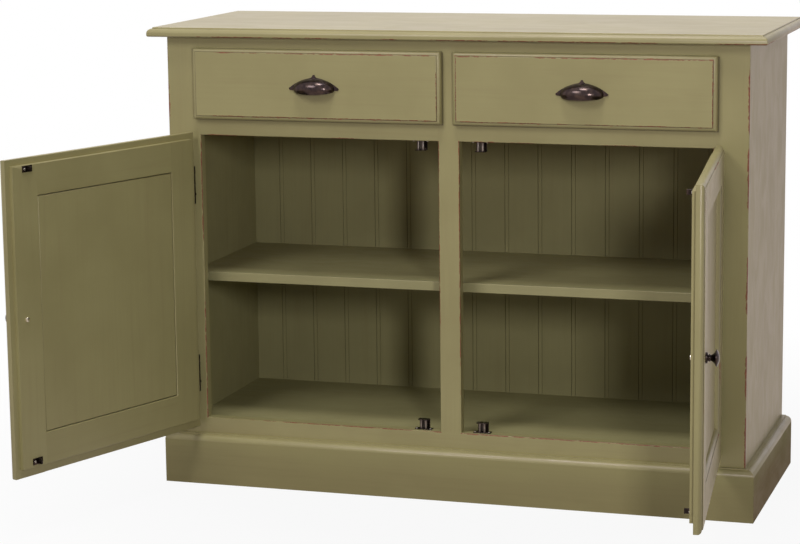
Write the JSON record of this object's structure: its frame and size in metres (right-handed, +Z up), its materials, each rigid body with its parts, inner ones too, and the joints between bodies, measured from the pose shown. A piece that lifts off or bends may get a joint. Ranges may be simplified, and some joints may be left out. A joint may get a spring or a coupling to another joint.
{
  "type": "kitchen base cabinet",
  "caption": "Free-standing painted base cabinet with cup-pull drawers over panelled doors that swing on lift-off hinges, a shelf, a beaded board back, a moulded top and a plinth",
  "frame": {"origin": "on the floor under the middle of the carcass, on the underside of the floor bearer", "axes": "+X to the cabinet's right as seen from the front, the front looks along -Y, +Z up"},
  "size_m": [1.3038, 0.9509, 0.9],
  "materials": {
    "sage_paint": "olive-sage satin paint, worn at the edges",
    "inside_paint": "olive-sage paint, matt",
    "bare_pine": "bare pine",
    "dark_iron": "dark bronzed iron",
    "steel": "plain steel"
  },
  "bodies": {
    "cabinet": {"top_board": "sage_paint", "left_side_panel": "sage_paint", "right_side_panel": "sage_paint", "left_face_stile": "sage_paint", "right_face_stile": "sage_paint", "centre_face_stile": "sage_paint", "top_face_rail": "sage_paint", "left_mid_rail": "sage_paint", "right_mid_rail": "sage_paint", "bottom_face_rail": "sage_paint", "floor_panel": "inside_paint", "floor_bearer": "bare_pine", "shelf": "inside_paint", "plinth_front": "sage_paint", "plinth_left": "sage_paint", "plinth_right": "sage_paint", "back_boards": "inside_paint", "back_rail": "bare_pine", "left_drawer_runner": "bare_pine", "centre_drawer_runner": "bare_pine", "right_drawer_runner": "bare_pine", "drawer_kickers": "bare_pine", "frame_hinge_halves": "dark_iron", "catch_housings": "dark_iron", "catch_springs": "dark_iron", "catch_screws": "steel"},
    "left_door": {"left_door_hinge_stile": "sage_paint", "left_door_latch_stile": "sage_paint", "left_door_top_rail": "sage_paint", "left_door_bottom_rail": "sage_paint", "left_door_panel": "sage_paint", "left_door_knob": "dark_iron", "left_door_knob_screw": "steel", "left_door_strikes": "dark_iron", "left_door_strike_screws": "steel", "left_door_hinge_halves": "dark_iron"},
    "left_drawer": {"left_drawer_front": "sage_paint", "left_drawer_outer_side": "bare_pine", "left_drawer_inner_side": "bare_pine", "left_drawer_back": "bare_pine", "left_drawer_bottom": "bare_pine", "left_drawer_pull": "dark_iron", "left_drawer_pull_screws": "steel"},
    "right_door": {"right_door_hinge_stile": "sage_paint", "right_door_latch_stile": "sage_paint", "right_door_top_rail": "sage_paint", "right_door_bottom_rail": "sage_paint", "right_door_panel": "sage_paint", "right_door_knob": "dark_iron", "right_door_knob_screw": "steel", "right_door_strikes": "dark_iron", "right_door_strike_screws": "steel", "right_door_hinge_halves": "dark_iron"},
    "right_drawer": {"right_drawer_front": "sage_paint", "right_drawer_outer_side": "bare_pine", "right_drawer_inner_side": "bare_pine", "right_drawer_back": "bare_pine", "right_drawer_bottom": "bare_pine", "right_drawer_pull": "dark_iron", "right_drawer_pull_screws": "steel"}
  },
  "joints": [
    {"name": "left_door_hinge", "type": "hinge", "parent": "cabinet", "child": "left_door", "pos_m": [-0.5153, -0.2285, 0.4075], "axis": [0, 0, 1], "range_deg": [-60.4, 109.6]},
    {"name": "right_door_hinge", "type": "hinge", "parent": "cabinet", "child": "right_door", "pos_m": [0.5153, -0.2285, 0.4075], "axis": [0, 0, -1], "range_deg": [-73.4, 96.6]},
    {"name": "left_drawer_slide", "type": "slide", "parent": "cabinet", "child": "left_drawer", "axis": [0, -1, 0], "range_m": [0, 0.3]},
    {"name": "right_drawer_slide", "type": "slide", "parent": "cabinet", "child": "right_drawer", "axis": [0, -1, 0], "range_m": [0, 0.3]}
  ]
}
